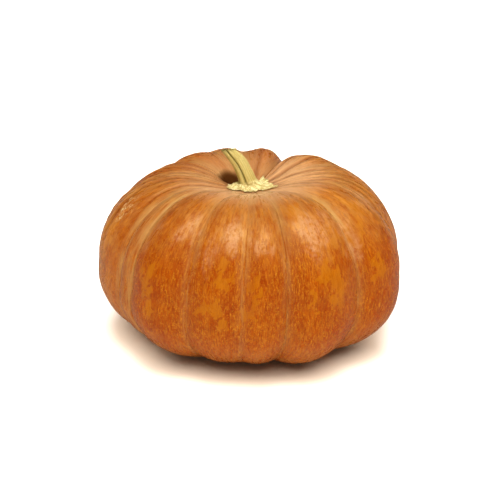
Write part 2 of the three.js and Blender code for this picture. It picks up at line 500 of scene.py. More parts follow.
# %% Wax
GROOVE_REACH = 0.0045
NARROW_RIB_REACH, NARROW_RIB_WAX = 0.009, 0.75
PALE_LINE_REACH, PALE_LINE_WAX = 0.0016, 0.42
FLANK_AT, FLANK_REACH, FLANK_BURNT = 0.0065, 0.0045, 0.6
FOLD_REACH, FOLD_SHADE = 0.0014, 0.08
UNDERSIDE_WAX = 0.3
# How much wax lies in each groove, in the order of the ribs.
WAX_IN_GROOVE = [0.6, 1.0, 1.0, 0.5, 0.5, 0.6, 0.8, 0.8, 0.7, 0.8, 0.7, 0.6, 0.8]
# The narrow rib at the left is waxy all the way down.
WAXY_FROM, WAXY_TO = -62.0, -45.0

index, across = rib_at(azimuth_grid)
from_edge = np.minimum(across, 1 - across) * (ends[index] - starts[index])
groove_distance = np.radians(from_edge) * radius_grid
wax_share = np.array(WAX_IN_GROOVE)
nearest = np.where(across < 0.5, index, (index + 1) % len(RIBS))
waxy = wax_share[nearest] * np.exp(-((groove_distance / GROOVE_REACH) ** 2))
waxy *= 0.35 + 0.65 * smoothstep(5, 45, slope_grid)
narrow_rib = smoothstep(WAXY_FROM, WAXY_FROM + 4, azimuth_grid)
narrow_rib *= 1 - smoothstep(WAXY_TO - 4, WAXY_TO, azimuth_grid)
narrow_rib *= np.exp(-((groove_distance / NARROW_RIB_REACH) ** 2))
waxy = np.maximum(waxy, NARROW_RIB_WAX * narrow_rib)
pale_line = np.exp(-((groove_distance / PALE_LINE_REACH) ** 2))
pale_line *= smoothstep(-70, -40, slope_grid)
waxy = np.maximum(waxy, PALE_LINE_WAX * pale_line)
flank = np.exp(-(((groove_distance - FLANK_AT) / FLANK_REACH) ** 2))
flank *= smoothstep(-40, 0, slope_grid) * (1 - smoothstep(48, 66, slope_grid))
burnt = np.maximum(burnt, FLANK_BURNT * flank)
underside = 1 - smoothstep(-52, -12, slope_grid + 9 * noise_field(skin * 4.0, 2))
waxy = np.maximum(waxy, UNDERSIDE_WAX * underside)
# Painted shade: a thin dark line at the bottom of each groove, added to the creases' shade.
fold = np.exp(-((groove_distance / FOLD_REACH) ** 2)) * smoothstep(-75, -40, slope_grid)
painted_crease_shade = np.clip(crease_shade + FOLD_SHADE * fold, 0, 1)
print("waxy share %.2f" % (waxy > 0.4).mean())


# %% [markdown]
# The upper half of a pumpkin is paler than its sides, most of all towards the right
# front. That is partly the skin's own colour and partly painted light: the sheen of the
# overhead light on the shoulders, and light along the edges on both sides. The mask for
# that fades in over the shoulders, reaches further down on both sides, and is weaker
# behind. Near the stem the skin turns tan, partly its own colour and partly painted light
# that is strongest on the lit side, and the hollow is painted almost brown as shade.

# %% Paleness, basin and hollow
LIT_SIDE = 40.0  # azimuth of the side that is palest near the stem
DULLER_BEHIND = 0.30
# Azimuth, half width in degrees and strength of the sides that are pale further down, as
# painted light along the edges.
PAINTED_LIGHT_ON_SIDES = [(-78.0, 24.0, 0.60), (96.0, 34.0, 0.60)]
HOLLOW_CORE, HOLLOW_RIM = 0.0070, 0.0135

from_lit_side = np.abs(turned_from(azimuth_grid, LIT_SIDE))
lit_side = 1 - smoothstep(85, 130, from_lit_side)
ragged_slope = slope_grid + 10 * noise_field(skin * np.array([9.0, 9.0, 3.0]), 3)
pale_skin_and_light = smoothstep(16, 62, ragged_slope)
# Partly painted light: paler towards the right front.
pale_skin_and_light *= 0.72 + 0.28 * np.cos(np.radians(azimuth_grid - 70.0))
pale_skin_and_light *= 1 - DULLER_BEHIND * (1 - lit_side) * smoothstep(45, 70, slope_grid)
for place, reach, share in PAINTED_LIGHT_ON_SIDES:
    beside = np.abs(turned_from(azimuth_grid, place))
    pale_skin_and_light = np.maximum(pale_skin_and_light, share * (1 - smoothstep(0.4 * reach, reach, beside)))
# Tan near the stem, partly the skin's own colour and partly painted light, strongest on the
# lit side.
basin = smoothstep(57, 80, slope_grid) * (0.38 + 0.62 * lit_side)
from_hollow = away_from_hollow(smooth[..., 0], smooth[..., 1])
# The hollow's mask, which carries its painted shade.
sunken = (1 - smoothstep(HOLLOW_CORE, HOLLOW_RIM, from_hollow)) * (slope_grid > 0)
print("pale share %.2f, basin share %.2f" % ((pale_skin_and_light > 0.4).mean(), (basin > 0.4).mean()))


# %% Keep the masks on the mesh
def with_ends(grid, bottom, top):
    """The values of a grid in a row, followed by those of its two closing points."""
    flat = grid.reshape(-1, *grid.shape[2:])
    return np.concatenate([flat, [bottom, top]])


paint(fruit, "skin", with_ends(skin, (0, 0, -math.pi / 2), (0, 0, math.pi / 2)))
paint(fruit, "waxy", with_ends(np.clip(waxy, 0, 1), 0.5, 0.5))
paint(fruit, "painted_crease_shade", with_ends(painted_crease_shade, 0.0, 0.0))
paint(fruit, "lip", with_ends(np.clip(lip_shine, 0, 1), 0.0, 0.0))
paint(fruit, "golden", with_ends(golden, 0.0, 0.0))
paint(fruit, "burnt", with_ends(burnt, 0.0, 0.0))
paint(fruit, "bloom_and_highlight", with_ends(bloom_and_highlight, 0.0, 0.0))
paint(fruit, "scarred", with_ends(scarred, 0.0, 0.0))
paint(fruit, "pale_and_lit", with_ends(pale_skin_and_light, 0.0, 1.0))
paint(fruit, "sunken", with_ends(sunken, 0.0, 0.0))
paint(fruit, "basin", with_ends(basin, 0.0, 1.0))
print("masks on the mesh", len(fruit.data.attributes))

# %% [markdown]
# ## A flat map for the rind
# The rind is laid out flat on a map. A pumpkin peels well in strips: the left half of the
# ribs is one strip and the right half the other, cut along grooves, where a join shows
# least.

# %% Lay the rind out flat
STRIPS = 2
MARGIN = 0.006
CUT_RIB = 6  # the second strip starts at this rib's groove

layer = fruit.data.uv_layers.new(name="OFBake")
turn = (columns - starts[0]) / 360.0
levels_along = (slopes + 90) / 180
corners = np.empty(len(fruit.data.loops), dtype=np.int32)
fruit.data.loops.foreach_get("vertex_index", corners)
count = len(columns)
grid_points = len(slopes) * count
cut_column = int(np.searchsorted(columns, starts[CUT_RIB]))
cuts = [0, cut_column, count]
loop_starts = np.empty(len(fruit.data.polygons), dtype=np.int32)
loop_totals = np.empty(len(fruit.data.polygons), dtype=np.int32)
fruit.data.polygons.foreach_get("loop_start", loop_starts)
fruit.data.polygons.foreach_get("loop_total", loop_totals)
uv = np.zeros((len(corners), 2), dtype=np.float32)
edges = np.append(turn, 1.0)
for begin, total in zip(loop_starts, loop_totals):
    ids = corners[begin : begin + total]
    on_grid = ids[ids < grid_points]
    cols = on_grid % count
    left = int(cols.min()) if cols.max() - cols.min() <= 1 else count - 1
    strip = 0 if left < cut_column else 1
    low_edge, high_edge = edges[cuts[strip]], edges[cuts[strip + 1]]
    for corner, vertex in enumerate(ids):
        if vertex < grid_points:
            column = int(vertex % count)
            if column == 0 and left == count - 1:
                column = count
            where = edges[column]
            height = levels_along[vertex // count]
        else:
            where = (edges[left] + edges[left + 1]) / 2
            height = float(vertex - grid_points)
        share = (where - low_edge) / (high_edge - low_edge)
        uv[begin + corner] = (
            MARGIN + share * (1 - 2 * MARGIN),
            (strip + MARGIN + height * (1 - 2 * MARGIN)) / STRIPS,
        )
layer.data.foreach_set("uv", uv.ravel())
print("map covers", uv.min(axis=0).round(3).tolist(), "to", uv.max(axis=0).round(3).tolist())

# %% [markdown]
# ## The stem
# The stem is the dried stalk that joined the fruit to its vine. It has hard rounded
# ridges with olive furrows between them, bends over to the left, and flares at the
# bottom into a corky foot whose edge is torn into points. It could be a bevelled curve,
# but then the ridges couldn't run out into the foot, so it is built like the fruit, as
# a stack of rings that starts at the torn edge and climbs to the cut end.

# %% Stem sizes
SEAT_GAP = 0.0008  # keeps the foot just clear of the rind
STALK_BASE, STALK_TIP, CUT_RADIUS = 0.0072, 0.0060, 0.0066
STALK_PATH = [
    Vector((-0.0032, 0.0000, 0.0050)),
    Vector((-0.0056, 0.0015, 0.0120)),
    Vector((-0.0112, 0.0048, 0.0222)),
    Vector((-0.0200, 0.0085, 0.0316)),
]
CUT_NORMAL = Vector((-0.1, 0.3, 0.95)).normalized()
# Azimuth of each furrow on the stalk and its depth as a share of the radius.
FURROWS = [
    (-142.0, 0.22),
    (-66.0, 0.34),
    (-8.0, 0.36),
    (30.0, 0.08),
    (84.0, 0.10),
    (126.0, 0.22),
    (172.0, 0.24),
]
STEM_COLUMNS = 240

stem_azimuth = np.linspace(-180, 180, STEM_COLUMNS, endpoint=False)


def round_list(pairs, azimuth):
    """Reads a value off a list of (azimuth, value) pairs that closes into a circle."""
    places, values = (np.array(column) for column in zip(*pairs))
    return np.interp(azimuth, places, values, period=360)


# %% [markdown]
# The foot is cork that has split as it dried, so its edge is a torn outline with a few
# crusty flakes that stand up behind the stalk. A boolean cut would leave a clean edge;
# here the outline is a list of reaches, roughened by noise, and left smooth in front.

# %% The torn edge of the foot
# Azimuth, and how far the foot reaches there: a smooth front, a tongue to the left and
# a long thin one to the right, and least of all where the hollow is.
FOOT_OUTLINE = [
    (-170.0, 0.0125),
    (-152.0, 0.0100),
    (-136.0, 0.0122),
    (-120.0, 0.0130),
    (-104.0, 0.0172),
    (-92.0, 0.0168),
    (-78.0, 0.0212),
    (-65.0, 0.0238),
    (-50.0, 0.0214),
    (-32.0, 0.0165),
    (-8.0, 0.0140),
    (22.0, 0.0134),
    (42.0, 0.0152),
    (50.0, 0.0200),
    (56.0, 0.0250),
    (60.0, 0.0246),
    (67.0, 0.0212),
    (84.0, 0.0186),
    (100.0, 0.0178),
    (118.0, 0.0156),
    (132.0, 0.0182),
    (144.0, 0.0148),
    (156.0, 0.0186),
    (168.0, 0.0144),
]
FOOT_TEAR = 0.0022
SPLINTERED = 1.1
SMOOTH_IN_FRONT = 0.08  # the share of the tear that is left in front
# Azimuth, height and half width in degrees of the crusty flakes that stand up.
FLAKES = [
    (100.0, 0.0010, 9.0),
    (122.0, 0.0018, 7.0),
    (140.0, 0.0036, 8.0),
    (158.0, 0.0030, 7.0),
    (-104.0, 0.0014, 9.0),
    (-128.0, 0.0014, 7.0),
]
foot_edge = round_list(FOOT_OUTLINE, stem_azimuth)
torn_share = smoothstep(40, 75, np.abs(stem_azimuth))
ragged = noise_field(skin_coordinates(stem_azimuth, 0 * stem_azimuth) * 11.0, 4)
foot_edge += FOOT_TEAR * ragged * (SMOOTH_IN_FRONT + (1 - SMOOTH_IN_FRONT) * torn_share)
flake_rise = np.zeros(STEM_COLUMNS)
for place, rise, half_width in FLAKES:
    apart = turned_from(stem_azimuth, place)
    flake_rise = np.maximum(flake_rise, rise * np.exp(-((apart / half_width) ** 2)))
splinters = noise_field(skin_coordinates(stem_azimuth, 0 * stem_azimuth + 50) * 26.0, 2)
flake_rise *= 1 + SPLINTERED * splinters
print("foot reaches %.1f to %.1f mm" % (foot_edge.min() * 1e3, foot_edge.max() * 1e3))


# %% [markdown]
# The foot's rings follow the rind below them, so it sits close on the fruit all round,
# less than a millimetre above it. The stalk's rings follow a bent line and turn level
# towards the cut, because the knife went through nearly level.

# %% Furrows and rings
RIDGE_ROUNDNESS = 0.5
RIDGE_SWELL = 0.04


def furrow_ridge(azimuth):
    """0 in a furrow and 1 on a ridge, and the depth of the nearest furrows."""
    places = np.array([place for place, _ in FURROWS])
    depths = np.array([depth for _, depth in FURROWS])
    turned = (azimuth - places[0]) % 360.0 + places[0]
    index = np.searchsorted(places, turned, side="right") - 1
    following = np.append(places[1:], places[0] + 360.0)
    across = (turned - places[index]) / (following[index] - places[index])
    depth = depths[index] * (1 - across) + depths[(index + 1) % len(depths)] * across
    return np.sin(np.pi * across) ** RIDGE_ROUNDNESS, depth


def foot_ring(share, lift, lean=0.0):
    """One ring of the foot, lifted off the rind that it grows from."""
    reach = (foot_edge * share / RADIUS) ** (1 / UPPER_FULLNESS)
    ring = rind(stem_azimuth, np.degrees(np.arccos(reach)))
    ring[:, 2] += SEAT_GAP + lift
    ring[:, 0] += lean
    return ring


def stalk_ring(centre, direction, radius, spin):
    """One furrowed ring of the stalk, square to a direction."""
    turn = Vector((0, 0, 1)).rotation_difference(direction)
    ridge, depth = furrow_ridge(stem_azimuth + spin)
    reach = radius * (1 + RIDGE_SWELL - depth * (1 - ridge))
    ring = []
    for azimuth, r in zip(np.radians(stem_azimuth), reach):
        spoke = Vector((r * math.sin(azimuth), -r * math.cos(azimuth), 0.0))
        ring.append(turn @ spoke + centre)
    return np.array(ring)


def along_path(t):
    """A point and a direction on the smooth line through the stalk's path."""
    spans = len(STALK_PATH) - 1
    i = min(int(t * spans), spans - 1)
    u = t * spans - i
    p1, p2 = STALK_PATH[i], STALK_PATH[i + 1]
    p0 = STALK_PATH[i - 1] if i > 0 else 2 * p1 - p2
    p3 = STALK_PATH[i + 2] if i + 2 <= spans else 2 * p2 - p1
    m1, m2 = (p2 - p0) / 2, (p3 - p1) / 2
    point = (2 * u**3 - 3 * u**2 + 1) * p1 + (u**3 - 2 * u**2 + u) * m1
    point += (-2 * u**3 + 3 * u**2) * p2 + (u**3 - u**2) * m2
    slope = (6 * u**2 - 6 * u) * (p1 - p2) + (3 * u**2 - 4 * u + 1) * m1
    slope += (3 * u**2 - 2 * u) * m2
    return point, slope.normalized()


# %% Stack the rings of the stem
FOOT_TO_STALK = 0.5  # the stalk starts at this share of the foot's radius
FOOT_SHARES = np.linspace(1.0, FOOT_TO_STALK, 18)
STALK_RINGS = 60
STALK_TWIST = 10  # degrees that the furrows turn on their way up
LEVEL_FROM = 0.5
FLARE, FLARE_FADE = 0.0012, 9
FOOT_CRUST, FOOT_RISE, FOOT_RIDGE = 0.0009, 0.0032, 0.0007
EDGE_THICKNESS = 0.0003
CRUST_GRIT, BARK_GRIT, CUT_GRIT = 0.0005, 0.00022, 0.0012
# Share of the cut's radius, and how far each ring is sunk below the plane of the cut.
CUT_RINGS = ((1.0, 0.0), (0.93, -0.0003), (0.8, 0.0004), (0.55, 0.0010), (0.25, 0.0013))
CUT_SUNK = 0.0014
floor = Vector(floor_of_basin)
ridge, _ = furrow_ridge(stem_azimuth)


def grit(height, level, scale):
    """Rough little heights round one ring, different at each level."""
    where = skin_coordinates(stem_azimuth, level + 0 * stem_azimuth)
    return height * noise_field(where * scale, 3)


rings = [foot_ring(share, 0.0) for share in (0.25, 0.5, 0.75)]
rings.append(foot_ring(0.92, 0.5 * flake_rise))
rings.append(foot_ring(1.0, EDGE_THICKNESS + 0.85 * flake_rise))
foot_flags = [1.0] * len(rings)
for share in FOOT_SHARES[1:]:
    inward = (1 - share) / (1 - FOOT_TO_STALK)
    crust = FOOT_CRUST + FOOT_RIDGE * ridge * inward + FOOT_RISE * inward**2.2
    crust += flake_rise * np.clip(1 - 2.6 * inward, 0, 1)
    crust += grit(CRUST_GRIT, 60 * share, 15.0) * (0.35 + 0.65 * torn_share)
    rings.append(foot_ring(share, crust, STALK_PATH[0].x * inward))
    foot_flags.append(1.0)
for step in range(STALK_RINGS):
    t = step / STALK_RINGS
    point, direction = along_path(t)
    level_off = float(smoothstep(LEVEL_FROM, 1.0, t))
    direction = direction.lerp(CUT_NORMAL, level_off).normalized()
    radius = STALK_BASE + (STALK_TIP - STALK_BASE) * t + FLARE * math.exp(-t * FLARE_FADE)
    bark = grit(BARK_GRIT, 40 * t, 5.0)
    spin = STALK_TWIST * t
    rings.append(stalk_ring(floor + point, direction, radius + bark, spin))
    foot_flags.append(float(np.clip(0.6 - t * 6, 0, 1)))
tip, _ = along_path(1.0)
for share, sink in CUT_RINGS:
    centre = floor + tip - sink * CUT_NORMAL
    ring = stalk_ring(centre, CUT_NORMAL, CUT_RADIUS * share, STALK_TWIST)
    rough_cut = grit(CUT_GRIT, 55 * share, 8.0)[:, None] * share
    rings.append(ring + np.array(CUT_NORMAL) * rough_cut)
    foot_flags.append(0.0)
rings = np.array(rings)
under = np.array(floor) + (0, 0, SEAT_GAP)
end_point = np.array(floor + tip - CUT_SUNK * CUT_NORMAL)
print("stem rings", len(rings), "columns", STEM_COLUMNS)

# %% [markdown]
# The stem is moved by the same amount as the fruit, so the two stay in step. It keeps
# four masks for its finish: the place along its fibres, how far up a ridge each point
# is, how much of it is foot, and how much is cut.

# %% The stem
stem = closed_mesh("stem_stalk", rings + shift, under + shift, end_point + shift)
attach(stem, "root")
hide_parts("stem")

DEEP_FURROW = 0.30
RIM_RINGS, RIM_SHARE = 3, 0.4
ring_count = len(rings)
cut_count = len(CUT_RINGS)
first_stalk_ring = ring_count - STALK_RINGS - cut_count
ridge_map = np.tile(ridge, (ring_count, 1))
# Deeper furrows get lower values, so the finish paints them darker: partly olive and partly
# painted shade.
for row in range(ring_count):
    t = np.clip((row - first_stalk_ring) / STALK_RINGS, 0, 1)
    ridge_here, depth_here = furrow_ridge(stem_azimuth + STALK_TWIST * t)
    ridge_map[row] = 1 - (1 - ridge_here) * np.clip(depth_here / DEEP_FURROW, 0, 1)
fibre = skin_coordinates(
    np.tile(stem_azimuth, (ring_count, 1)),
    np.tile(np.linspace(0, 120, ring_count)[:, None], (1, STEM_COLUMNS)),
)
foot_map = np.tile(np.array(foot_flags)[:, None], (1, STEM_COLUMNS))
cut_map = np.zeros_like(foot_map)
cut_map[-cut_count:] = 1.0
cut_map[-cut_count - RIM_RINGS : -cut_count] = RIM_SHARE
paint(stem, "skin", with_ends(fibre, (0, 0, 0), (0, 0, 2.2)))
paint(stem, "ridge", with_ends(ridge_map, 1.0, 1.0))
paint(stem, "foot", with_ends(foot_map, 1.0, 0.0))
paint(stem, "cut", with_ends(cut_map, 0.0, 1.0))
print("stem faces", len(stem.data.polygons))

# %% [markdown]
# ## Shared effects
# Streaks that run lengthwise appear on both the rind and the stem, so they are one node
# group: noise that is squeezed round the fruit and stretched along it, then cut between
# two levels into a mask. An image could show the same streaks, but it would blur close
# up and would be the same on every pumpkin.


# %% Node helpers
def link(tree, a, b):
    """Joins one socket to another."""
    tree.links.new(a, b)


def math_node(tree, operation, a, b, clamp=False):
    """One sum on two values, each a number or a socket."""
    node = tree.nodes.new("ShaderNodeMath")
    node.operation = operation
    node.use_clamp = clamp
    for socket, value in zip(node.inputs, (a, b)):
        if isinstance(value, (int, float)):
            socket.default_value = value
        else:
            link(tree, value, socket)
    return node.outputs[0]


def mix_colour(tree, factor, a, b):
    """Covers colour a with colour b where the factor says so."""
    node = tree.nodes.new("ShaderNodeMix")
    node.data_type = "RGBA"
    for socket, value in ((node.inputs[0], factor), (node.inputs[6], a), (node.inputs[7], b)):
        if isinstance(value, tuple):
            socket.default_value = (*value, 1.0)
        else:
            link(tree, value, socket)
    return node.outputs[2]


def ramp(tree, value, low, high):
    """A mask that is 0 below the first level and 1 above the second."""
    node = tree.nodes.new("ShaderNodeMapRange")
    node.interpolation_type = "SMOOTHSTEP"
    link(tree, value, node.inputs["Value"])
    node.inputs["From Min"].default_value = low
    node.inputs["From Max"].default_value = high
    return node.outputs["Result"]


def attribute(tree, name):
    """Reads a value that the mesh keeps at every point."""
    node = tree.nodes.new("ShaderNodeAttribute")
    node.attribute_name = name
    return node


# %% The streak group
STREAK_DETAIL = 3.0

streaks = bpy.data.node_groups.new("streaks", "ShaderNodeTree")
for name, kind, default in (
    ("Place", "NodeSocketVector", None),
    ("Across", "NodeSocketFloat", 20.0),
    ("Along", "NodeSocketFloat", 5.0),
    ("Waviness", "NodeSocketFloat", 0.3),
    ("Low", "NodeSocketFloat", 0.45),
    ("High", "NodeSocketFloat", 0.6),
):
    socket = streaks.interface.new_socket(name, in_out="INPUT", socket_type=kind)
    if default is not None:
        socket.default_value = default
streaks.interface.new_socket("Mask", in_out="OUTPUT", socket_type="NodeSocketFloat")
streaks.interface.new_socket("Raw", in_out="OUTPUT", socket_type="NodeSocketFloat")
inside = streaks.nodes.new("NodeGroupInput")
outside = streaks.nodes.new("NodeGroupOutput")
size = streaks.nodes.new("ShaderNodeCombineXYZ")
link(streaks, inside.outputs["Across"], size.inputs[0])
link(streaks, inside.outputs["Across"], size.inputs[1])
link(streaks, inside.outputs["Along"], size.inputs[2])
stretch = streaks.nodes.new("ShaderNodeVectorMath")
stretch.operation = "MULTIPLY"
link(streaks, inside.outputs["Place"], stretch.inputs[0])
link(streaks, size.outputs[0], stretch.inputs[1])
pattern = streaks.nodes.new("ShaderNodeTexNoise")
pattern.inputs["Scale"].default_value = 1.0
pattern.inputs["Detail"].default_value = STREAK_DETAIL
link(streaks, stretch.outputs[0], pattern.inputs["Vector"])
link(streaks, inside.outputs["Waviness"], pattern.inputs["Distortion"])
cut_level = streaks.nodes.new("ShaderNodeMapRange")
cut_level.interpolation_type = "SMOOTHSTEP"
link(streaks, pattern.outputs[0], cut_level.inputs["Value"])
link(streaks, inside.outputs["Low"], cut_level.inputs["From Min"])
link(streaks, inside.outputs["High"], cut_level.inputs["From Max"])
link(streaks, cut_level.outputs["Result"], outside.inputs["Mask"])
link(streaks, pattern.outputs[0], outside.inputs["Raw"])
print("streak group nodes", len(streaks.nodes))


def streak(tree, place, across, along, low, high, waviness):
    """Places the streak group in a material, with values of its own."""
    node = tree.nodes.new("ShaderNodeGroup")
    node.node_tree = streaks
    link(tree, place, node.inputs["Place"])
    for name, value in (
        ("Across", across),
        ("Along", along),
        ("Waviness", waviness),
        ("Low", low),
        ("High", high),
    ):
        node.inputs[name].default_value = value
    return node


# %% [markdown]
# ## The rind's finish
# Pumpkin skin is orange in several layers. A burnt orange shows through a mid orange,
# golden blotches run down the ribs, and the shoulders are paler in patches and ribbons.
# One flat orange would look like plastic, and a picture of a rind would not follow these
# ribs. So each layer is a colour with a mask, and each covers part of the one before.

# %% Rind colours
BURNT = (0.275, 0.036, 0.0003)
ORANGE = (0.335, 0.060, 0.0004)
GOLD = (0.420, 0.126, 0.0016)
WAX = (0.480, 0.260, 0.085)
# Bloom: partly wax and partly a painted highlight on the shoulders.
WAX_BLOOM_AND_HIGHLIGHT = (0.640, 0.340, 0.170)
# Partly the skin's own pale orange, partly painted light on the shoulders and edges.
PALE_ORANGE_AND_SHEEN = (0.600, 0.235, 0.034)
FLECK = (0.560, 0.210, 0.012)
DEEP_DASH = (0.230, 0.028, 0.0002)
# Painted shade for the creases and the groove bottoms.
PAINTED_FOLD_SHADE = (0.190, 0.032, 0.001)
# Tan near the stem, partly the skin's own and partly painted light.
BASIN_TAN_AND_LIGHT = (0.700, 0.400, 0.200)
# Painted shade for the hollow beside the stem.
PAINTED_HOLLOW_SHADE = (0.070, 0.017, 0.0010)
SCAR = (0.720, 0.520, 0.250)
SHINE_WARMTH = (1.0, 0.80, 0.32, 1.0)
# How much of each layer shows over the ones below it.
MOTTLE_COVER, GOLD_COVER, BURNT_COVER = 0.16, 0.72, 0.70
DASH_COVER, SPECK_COVER, DARK_DASH_COVER = 0.34, 0.42, 0.70
WAX_COVER, SHOULDER_WAX_AND_SHEEN_COVER, LIP_WAX_AND_SHINE_COVER = 0.9, 0.30, 0.35
BLOOM_AND_HIGHLIGHT_COVER, BASIN_TAN_AND_LIGHT_COVER, CREASE_SHADE_COVER = 0.55, 0.78, 0.60
GOLD_RAGGEDNESS = 0.5
# The least that the paleness and the dashes show, and how much more where they are thick.
PALE_LEAST, PALE_MORE = 0.42, 0.55
CROWD_LEAST, CROWD_MORE = 0.4, 0.6
# How far the dashes thin out on the shoulders and on the gold.
THINNER_ON_SHOULDER, THINNER_ON_GOLD = 0.35, 0.7


def share_of(tree, mask, amount):
    """A mask made weaker, or stronger, all over."""
    return math_node(tree, "MULTIPLY", mask, amount)


rind_finish = bpy.data.materials.new("rind_finish")
rind_finish.use_nodes = True
tree = rind_finish.node_tree
shader = tree.nodes["Principled BSDF"]
place = attribute(tree, "skin").outputs["Vector"]
waxy_mask = attribute(tree, "waxy").outputs["Fac"]
painted_crease_shade_mask = attribute(tree, "painted_crease_shade").outputs["Fac"]
lip_wax_and_shine_mask = attribute(tree, "lip").outputs["Fac"]
golden_mask = attribute(tree, "golden").outputs["Fac"]
burnt_mask = attribute(tree, "burnt").outputs["Fac"]
sunken_mask = attribute(tree, "sunken").outputs["Fac"]
bloom_and_highlight_mask = attribute(tree, "bloom_and_highlight").outputs["Fac"]
scarred_mask = attribute(tree, "scarred").outputs["Fac"]
pale_and_lit_mask = attribute(tree, "pale_and_lit").outputs["Fac"]
basin_tan_and_light_mask = attribute(tree, "basin").outputs["Fac"]
print("rind masks read", sum(node.type == "ATTRIBUTE" for node in tree.nodes))

# %% Layers of orange
broad = streak(tree, place, across=8.0, along=2.2, low=0.36, high=0.64, waviness=0.6)
mottle = streak(tree, place, across=26.0, along=9.0, low=0.38, high=0.66, waviness=0.8)
ribbons = streak(tree, place, across=34.0, along=3.2, low=0.43, high=0.56, waviness=0.5)
colour = mix_colour(tree, broad.outputs["Mask"], BURNT, ORANGE)
mottled = share_of(tree, mottle.outputs["Mask"], MOTTLE_COVER)
colour = mix_colour(tree, mottled, colour, GOLD)
mottled_edge = ramp(tree, mottle.outputs["Raw"], 0.30, 0.55)
worn = math_node(tree, "MULTIPLY", burnt_mask, mottled_edge)
raggedness = share_of(tree, mottle.outputs["Raw"], GOLD_RAGGEDNESS)
ragged_edge = math_node(tree, "ADD", golden_mask, raggedness)
crisp_gold = ramp(tree, ragged_edge, 0.52, 0.68)
colour = mix_colour(tree, share_of(tree, crisp_gold, GOLD_COVER), colour, GOLD)
blots = streak(tree, place, across=15.0, along=9.0, low=0.40, high=0.52, waviness=1.0)
patchy = math_node(tree, "MULTIPLY", ribbons.outputs["Mask"], blots.outputs["Mask"])
patchy = math_node(tree, "ADD", share_of(tree, patchy, PALE_MORE), PALE_LEAST)
paler = math_node(tree, "MULTIPLY", pale_and_lit_mask, patchy)
colour = mix_colour(tree, paler, colour, PALE_ORANGE_AND_SHEEN)
colour = mix_colour(tree, share_of(tree, worn, BURNT_COVER), colour, BURNT)

# %% [markdown]
# The dashes are little corky marks that the skin gets as it stretches. They are lighter
# than the skin, crowd together in some places, and thin out on the gold and on the
# shoulders. Modelling thousands of them would gain nothing at this size, so they are
# thin streaks in the material, with darker ones between.

# %% Dashes
dashes = streak(tree, place, across=150.0, along=18.0, low=0.50, high=0.59, waviness=0.15)
dark_dashes = streak(tree, place, across=120.0, along=12.0, low=0.50, high=0.61, waviness=0.15)
specks = streak(tree, place, across=120.0, along=55.0, low=0.56, high=0.62, waviness=0.3)
clusters = streak(tree, place, across=17.0, along=6.0, low=0.30, high=0.58, waviness=0.8)
thinned = share_of(tree, pale_and_lit_mask, THINNER_ON_SHOULDER)
below_shoulder = math_node(tree, "SUBTRACT", 1.0, thinned)
crowding = share_of(tree, clusters.outputs["Mask"], CROWD_MORE)
crowding = math_node(tree, "ADD", crowding, CROWD_LEAST)
crowding = math_node(tree, "MULTIPLY", crowding, below_shoulder)
long_marks = share_of(tree, dashes.outputs["Mask"], DASH_COVER)
short_marks = share_of(tree, specks.outputs["Mask"], SPECK_COVER)
light_marks = math_node(tree, "ADD", long_marks, short_marks, clamp=True)
calmer = math_node(tree, "SUBTRACT", 1.0, share_of(tree, crisp_gold, THINNER_ON_GOLD))
dash = math_node(tree, "MULTIPLY", light_marks, crowding)
dash = math_node(tree, "MULTIPLY", dash, calmer)
dark_dash = math_node(tree, "MULTIPLY", dark_dashes.outputs["Mask"], below_shoulder)
dark_dash = math_node(tree, "MULTIPLY", dark_dash, calmer)
colour = mix_colour(tree, share_of(tree, dark_dash, DARK_DASH_COVER), colour, DEEP_DASH)
colour = mix_colour(tree, dash, colour, FLECK)

# %% [markdown]
# Wax, bloom and scars lie on top of the orange, so they are mixed in after it; the bloom
# is partly wax and partly a painted highlight. Their masks are broken up by streaks first,
# so their edges never look airbrushed. The tan near the stem, partly painted light, comes
# next. The painted shade in the folds and the hollow comes last, because nothing covers it.

# %% Wax, bloom, and painted shade in the folds and the hollow
wax_lines = streak(tree, place, across=60.0, along=3.5, low=0.28, high=0.62, waviness=0.3)
wax = math_node(tree, "MULTIPLY", waxy_mask, wax_lines.outputs["Mask"])
patches = ramp(tree, clusters.outputs["Raw"], 0.42, 0.66)
# Wax patches on the pale shoulders, partly wax and partly painted sheen.
shoulder_wax_and_sheen = math_node(tree, "MULTIPLY", pale_and_lit_mask, patches)
shoulder_wax_and_sheen = share_of(tree, shoulder_wax_and_sheen, SHOULDER_WAX_AND_SHEEN_COVER)
wax = math_node(tree, "ADD", share_of(tree, wax, WAX_COVER), shoulder_wax_and_sheen, clamp=True)
# Paler on the crease lips: partly wax and partly a painted highlight.
wax = math_node(tree, "ADD", wax, share_of(tree, lip_wax_and_shine_mask, LIP_WAX_AND_SHINE_COVER), clamp=True)
colour = mix_colour(tree, wax, colour, WAX)
# The bloom, partly wax and partly a painted highlight where the shine falls.
bloom_and_highlight_grain = streak(tree, place, across=42.0, along=26.0, low=0.30, high=0.66, waviness=0.4)
bloom_and_highlight = math_node(tree, "MULTIPLY", bloom_and_highlight_mask, bloom_and_highlight_grain.outputs["Mask"])
colour = mix_colour(tree, share_of(tree, bloom_and_highlight, BLOOM_AND_HIGHLIGHT_COVER), colour, WAX_BLOOM_AND_HIGHLIGHT)
scar_spots = streak(tree, place, across=85.0, along=40.0, low=0.50, high=0.58, waviness=0.3)
scar = math_node(tree, "MULTIPLY", scarred_mask, scar_spots.outputs["Mask"])
colour = mix_colour(tree, scar, colour, SCAR)
# Tan near the stem, partly painted light, weaker behind.
colour = mix_colour(tree, share_of(tree, basin_tan_and_light_mask, BASIN_TAN_AND_LIGHT_COVER), colour, BASIN_TAN_AND_LIGHT)
# Painted shade in the creases and along the groove bottoms.
colour = mix_colour(tree, share_of(tree, painted_crease_shade_mask, CREASE_SHADE_COVER), colour, PAINTED_FOLD_SHADE)
